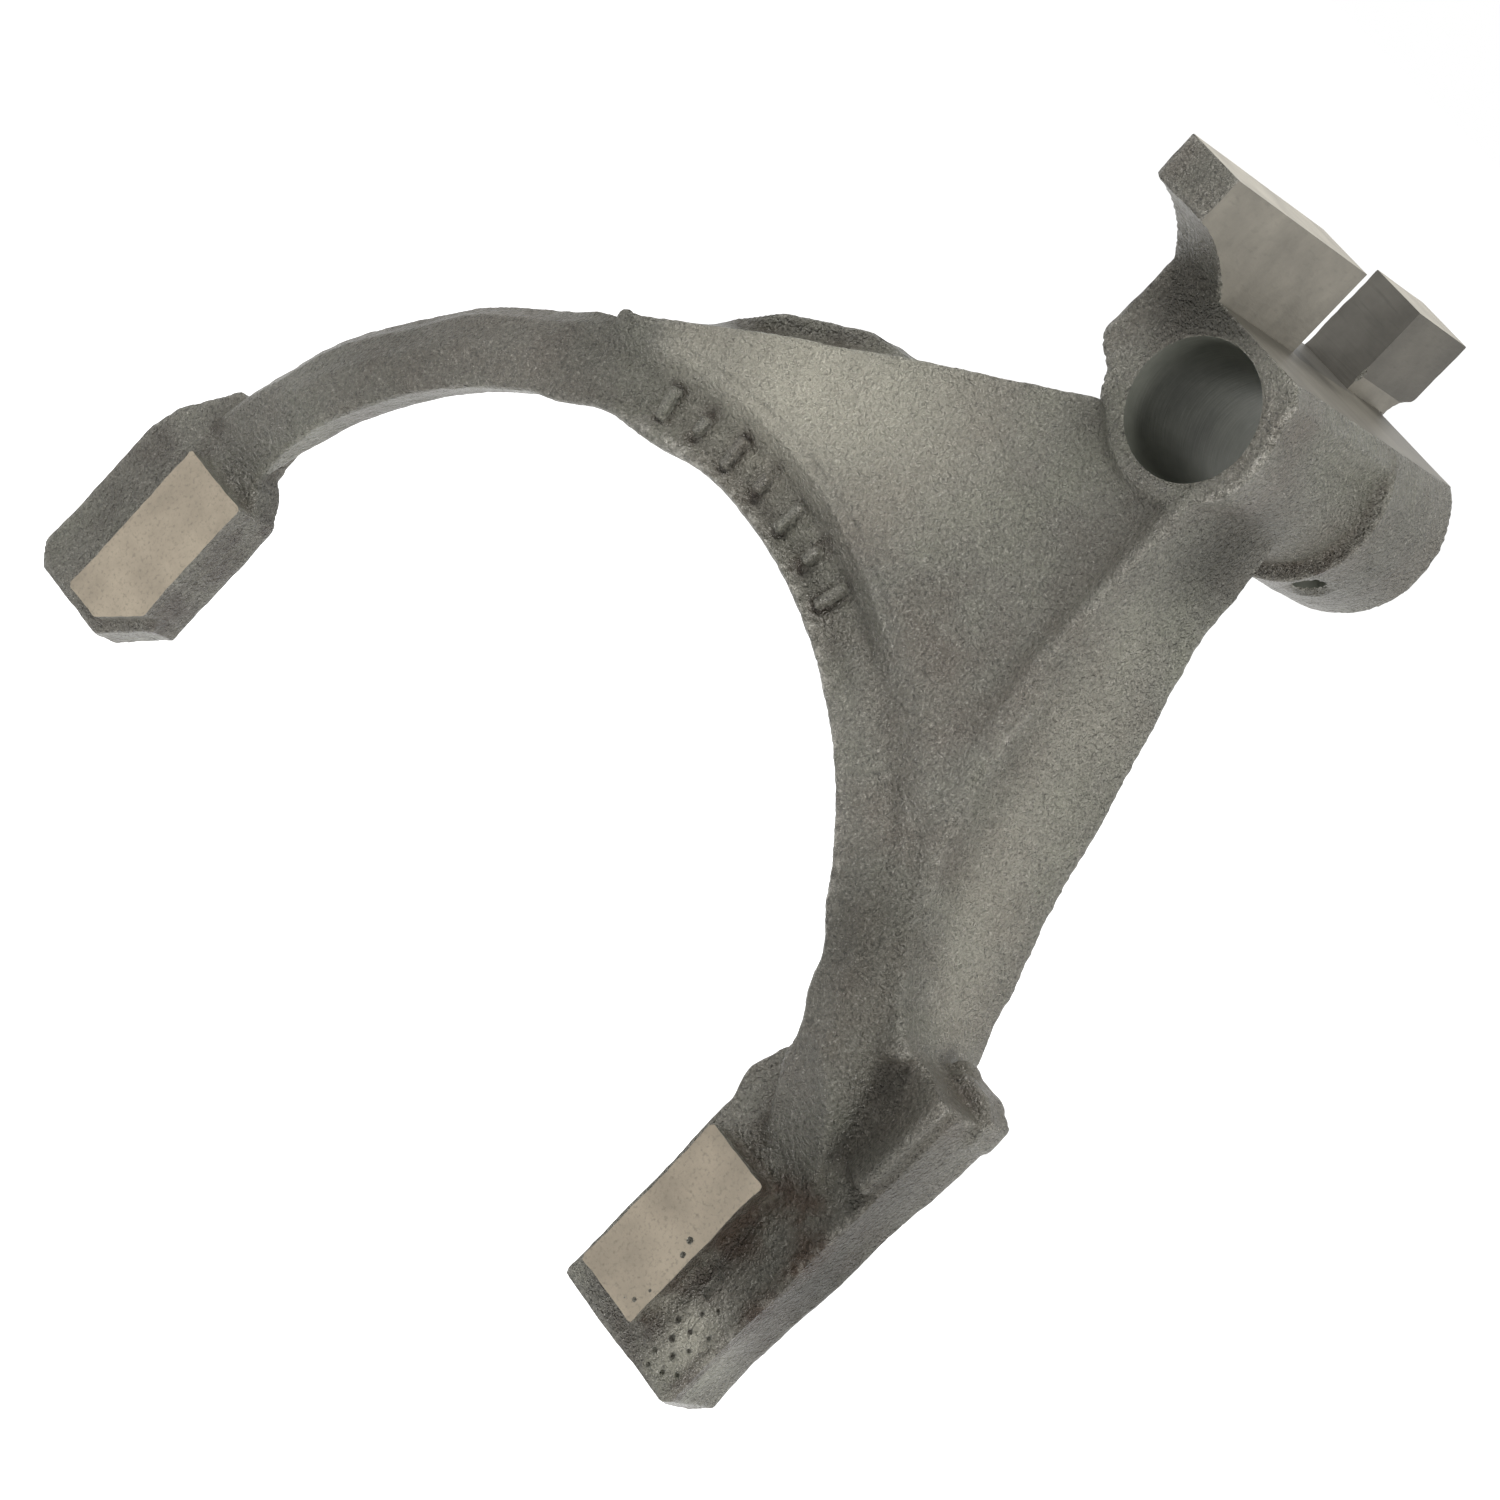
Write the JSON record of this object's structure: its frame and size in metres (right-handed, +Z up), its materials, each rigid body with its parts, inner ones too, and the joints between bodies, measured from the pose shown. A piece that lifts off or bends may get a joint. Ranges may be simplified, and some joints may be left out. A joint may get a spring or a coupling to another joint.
{
  "type": "shift fork",
  "caption": "Cast iron gearbox shift fork: a yoke with machined pads, a triangular web, a hub bored for the shift rail and a notched selector lug.",
  "frame": {"origin": "on the rail bore's axis, in the plane of the hub's front face", "axes": "+Y along the bore towards the back, +Z up towards the selector lug, +X to the right, away from the yoke"},
  "size_m": [0.1661, 0.0727, 0.1624],
  "materials": {
    "cast_skin": "rough sand-cast skin"
  },
  "bodies": {
    "root": {"shift_fork": "cast_skin"}
  },
  "joints": []
}
